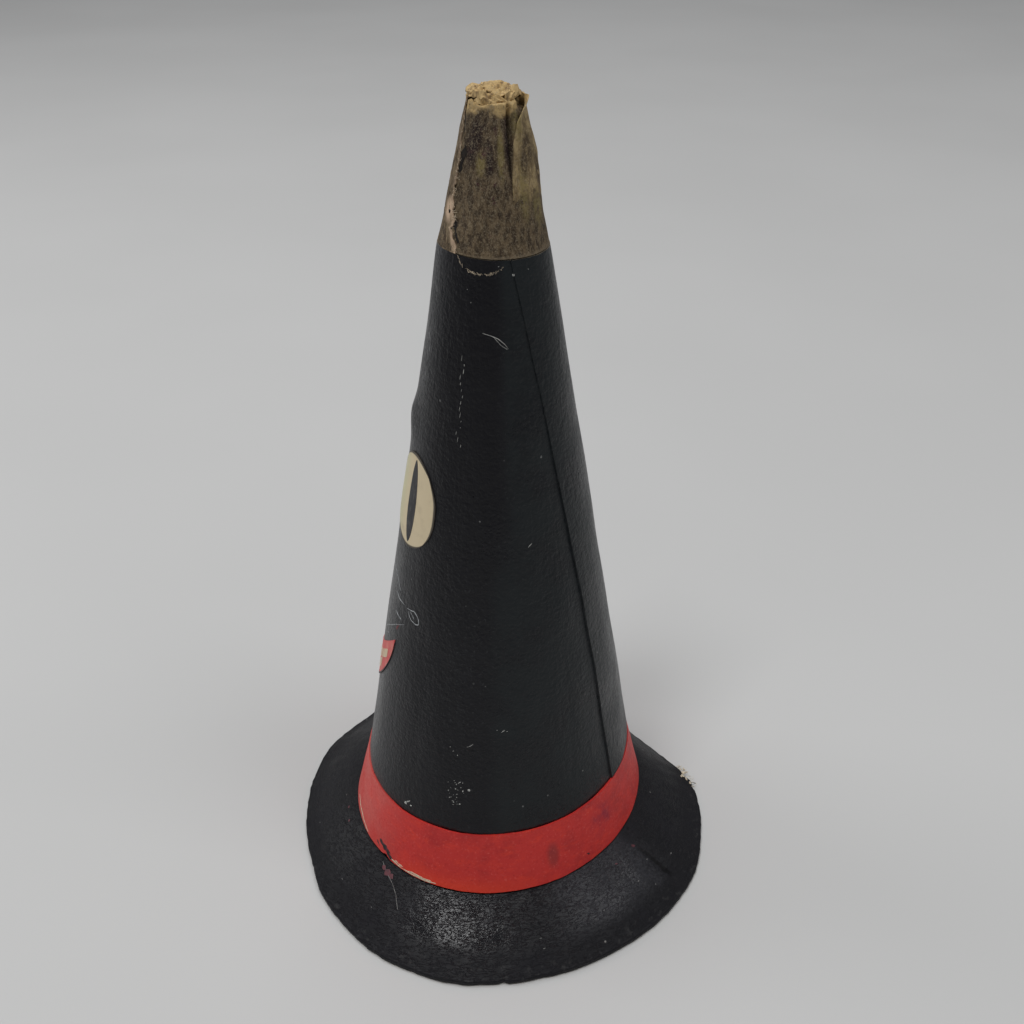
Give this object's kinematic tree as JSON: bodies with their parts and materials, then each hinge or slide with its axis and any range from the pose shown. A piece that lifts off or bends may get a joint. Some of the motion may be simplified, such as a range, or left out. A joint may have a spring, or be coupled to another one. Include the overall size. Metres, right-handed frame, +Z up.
{
  "type": "paper witch hat",
  "caption": "Small tall-coned witch hat of rolled black paper with a drooping brim, red band, crumpled kraft tip and a cut-paper cat face.",
  "frame": {"origin": "on the cone's axis at the level of the rim's flat underside, within about a millimetre of the middle of the base", "axes": "+Z up along the cone to the tip; the cat's face looks along -Y; +X is the hat's left side as the face looks out"},
  "size_m": [0.1429, 0.1392, 0.2426],
  "materials": {
    "black_paper": "worn gloss lacquer",
    "red_paper": "satin",
    "kraft_paper": "matt, stained",
    "cream_paper": "satin",
    "dark_paper": "satin"
  },
  "bodies": {
    "root": {"crown": "black_paper", "brim": "black_paper", "band": "red_paper", "peak": "kraft_paper", "eye_left": "cream_paper", "eye_right": "cream_paper", "pupil_left": "dark_paper", "pupil_right": "dark_paper", "mouth": "red_paper", "teeth": "cream_paper"}
  },
  "joints": []
}
